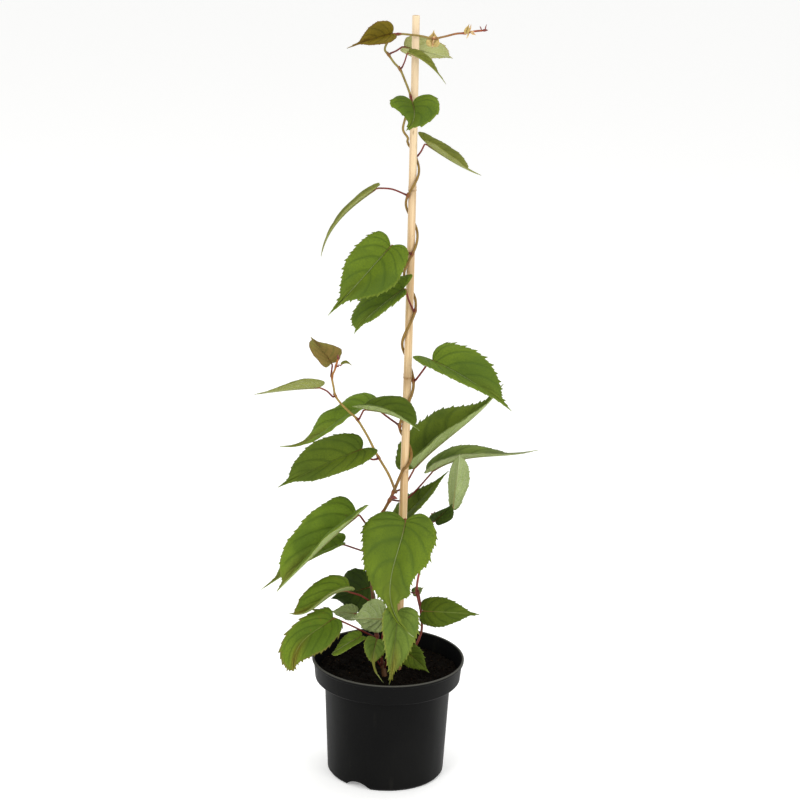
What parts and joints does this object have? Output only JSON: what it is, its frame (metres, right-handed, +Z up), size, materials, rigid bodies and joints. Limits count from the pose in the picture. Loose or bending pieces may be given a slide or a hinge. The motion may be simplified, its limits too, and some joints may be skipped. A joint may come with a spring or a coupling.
{
  "type": "kiwi vine",
  "caption": "Young twining kiwi vine on a bamboo cane in a round black nursery pot, with separate heart-shaped leaves on red stalks.",
  "frame": {"origin": "centre of the pot's underside", "axes": "+Z up along the cane, -Y towards the open front"},
  "size_m": [0.3102, 0.17, 0.847],
  "materials": {
    "pot_plastic": "matte black with a soft sheen",
    "soil_peat": "rough dark peat",
    "bamboo": "dry pale tan with a soft sheen",
    "stem_bark": "green-brown, reddish at the nodes",
    "leaf_green": "matte green, paler and netted underneath"
  },
  "bodies": {
    "root": {"pot": "pot_plastic", "soil": "soil_peat", "bamboo_cane": "bamboo", "main_stem": "stem_bark", "side_shoot": "stem_bark", "basal_shoot": "stem_bark", "leaf_01_top_left": "leaf_green", "leaf_02_top_right": "leaf_green", "leaf_03_top_folded": "leaf_green", "leaf_04_upper_heart": "leaf_green", "leaf_05_upper_right": "leaf_green", "leaf_06_upper_slim": "leaf_green", "leaf_07_left_heart": "leaf_green", "leaf_08_under_heart": "leaf_green", "leaf_09_shoot_end": "leaf_green", "leaf_10_right_heart": "leaf_green", "leaf_11_left_long": "leaf_green", "leaf_12_over_cane": "leaf_green", "leaf_13_left_thin": "leaf_green", "leaf_14_left_wide": "leaf_green", "leaf_15_right_big": "leaf_green", "leaf_16_right_long": "leaf_green", "leaf_17_pale_upright": "leaf_green", "leaf_18_dark_small": "leaf_green", "leaf_19_behind_cane": "leaf_green", "leaf_20_front_heart": "leaf_green", "leaf_21_left_big": "leaf_green", "leaf_22_left_behind": "leaf_green", "leaf_23_low_left": "leaf_green", "leaf_24_dark_behind": "leaf_green", "leaf_25_low_front_left": "leaf_green", "leaf_26_crumpled": "leaf_green", "leaf_27_pleated": "leaf_green", "leaf_28_low_front": "leaf_green", "leaf_29_low_curled": "leaf_green", "leaf_30_low_right": "leaf_green", "leaf_31_in_pot_left": "leaf_green", "leaf_32_low_right_long": "leaf_green", "leaf_33_small_behind": "leaf_green", "leaf_34_young_top": "leaf_green", "leaf_35_young_tip": "leaf_green", "leaf_36_young_shoot": "leaf_green"}
  },
  "joints": []
}
